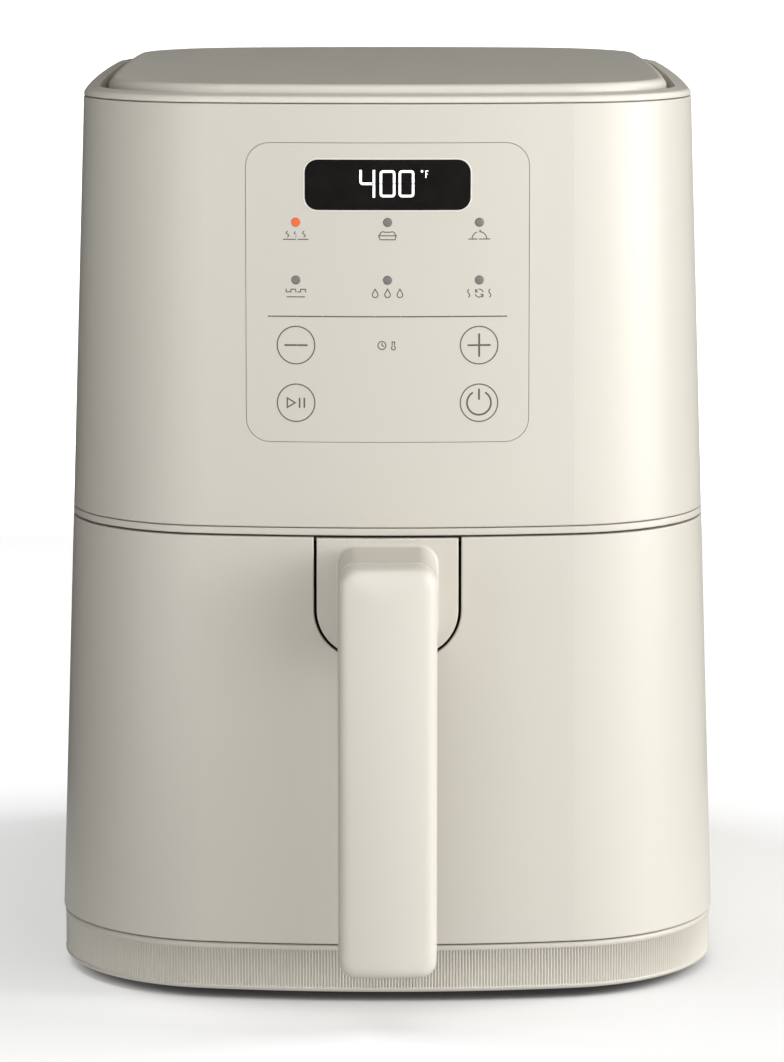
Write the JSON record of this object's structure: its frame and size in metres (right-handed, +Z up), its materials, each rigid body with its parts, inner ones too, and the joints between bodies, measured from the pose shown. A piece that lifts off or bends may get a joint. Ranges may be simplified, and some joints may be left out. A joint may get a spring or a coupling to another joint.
{
  "type": "air fryer",
  "caption": "Slim upright air fryer with a pull-out basket drawer, vertical handle, touch panel and internal heater and fan.",
  "frame": {"origin": "on the resting surface, under the centre of the overall box", "axes": "+Z up, -Y out of the front where the handle is, +X to the right seen from the front"},
  "size_m": [0.236, 0.368, 0.316],
  "materials": {
    "aluminised": "bright sheet",
    "base_plastic": "satin, ribbed",
    "black_plastic": "moulded",
    "board": "solder mask",
    "body_plastic": "fine satin, warm off-white",
    "brass": "plain",
    "element": "oxidised sheath",
    "grey_plastic": "moulded",
    "handle_plastic": "fine satin, warm off-white",
    "laminations": "stacked sheet",
    "light_guide": "clear grey",
    "nonstick": "speckled non-stick coating",
    "panel_plastic": "fine satin with printed keys",
    "rubber": "matt",
    "silicone": "matt",
    "steel": "plain sheet",
    "window": "smooth black",
    "zinc": "zinc plated"
  },
  "bodies": {
    "housing": {"air_duct": "black_plastic", "base_plate": "black_plastic", "base_ring": "base_plastic", "base_screws": "zinc", "board_screws": "zinc", "board_standoffs": "brass", "chamber_liner": "aluminised", "control_board": "board", "control_panel": "panel_plastic", "crown_ring": "body_plastic", "display_module": "grey_plastic", "display_window": "window", "drawer_rails": "steel", "electronics_bracket": "steel", "element_clips": "steel", "feet": "rubber", "front_bezel": "black_plastic", "heat_shield": "aluminised", "heating_element": "element", "indicator_lights": "light_guide", "lower_housing": "body_plastic", "mains_gland": "rubber", "microswitch": "black_plastic", "middle_deck": "black_plastic", "motor_bearings": "steel", "motor_bracket": "steel", "motor_end_caps": "aluminised", "motor_screws": "zinc", "motor_stator": "laminations", "power_board": "board", "power_components": "grey_plastic", "rear_vent_cover": "body_plastic", "splatter_guard": "steel", "temperature_sensor": "steel", "terminal_block": "grey_plastic", "thermal_fuse": "zinc", "top_lid": "body_plastic", "touch_springs": "zinc", "upper_chamber": "aluminised", "upper_housing": "body_plastic", "vent_screws": "zinc", "waist_trim": "body_plastic"},
    "fan_rotor": {"motor_shaft": "steel", "rotor_core": "laminations", "hot_air_fan": "aluminised", "cooling_fan": "grey_plastic", "fan_nut": "zinc"},
    "drawer": {"drawer_front": "body_plastic", "drawer_inner_panel": "black_plastic", "handle_plate": "body_plastic", "handle_grip": "handle_plastic", "handle_back_cover": "handle_plastic", "handle_core": "steel", "handle_screws": "zinc", "pan": "nonstick", "pan_bracket": "steel", "pan_screws": "zinc"},
    "crisper_tray": {"crisper_tray": "nonstick", "tray_bumpers": "silicone"},
    "switch_plunger": {"switch_plunger": "grey_plastic"}
  },
  "joints": [
    {"name": "drawer_slide", "type": "slide", "parent": "housing", "child": "drawer", "axis": [0, -1, 0], "range_m": [0, 0.23]},
    {"name": "tray_lift", "type": "slide", "parent": "drawer", "child": "crisper_tray", "axis": [0, 0, 1], "range_m": [0, 0.08]},
    {"name": "fan_spin", "type": "hinge", "parent": "housing", "child": "fan_rotor", "pos_m": [0, 0.016, 0.24], "axis": [0, 0, 1], "continuous": true},
    {"name": "switch_press", "type": "slide", "parent": "housing", "child": "switch_plunger", "axis": [0, 0, 1], "range_m": [0, 0.0015], "stiffness_N_per_m": 400, "springref_m": -0.001}
  ]
}
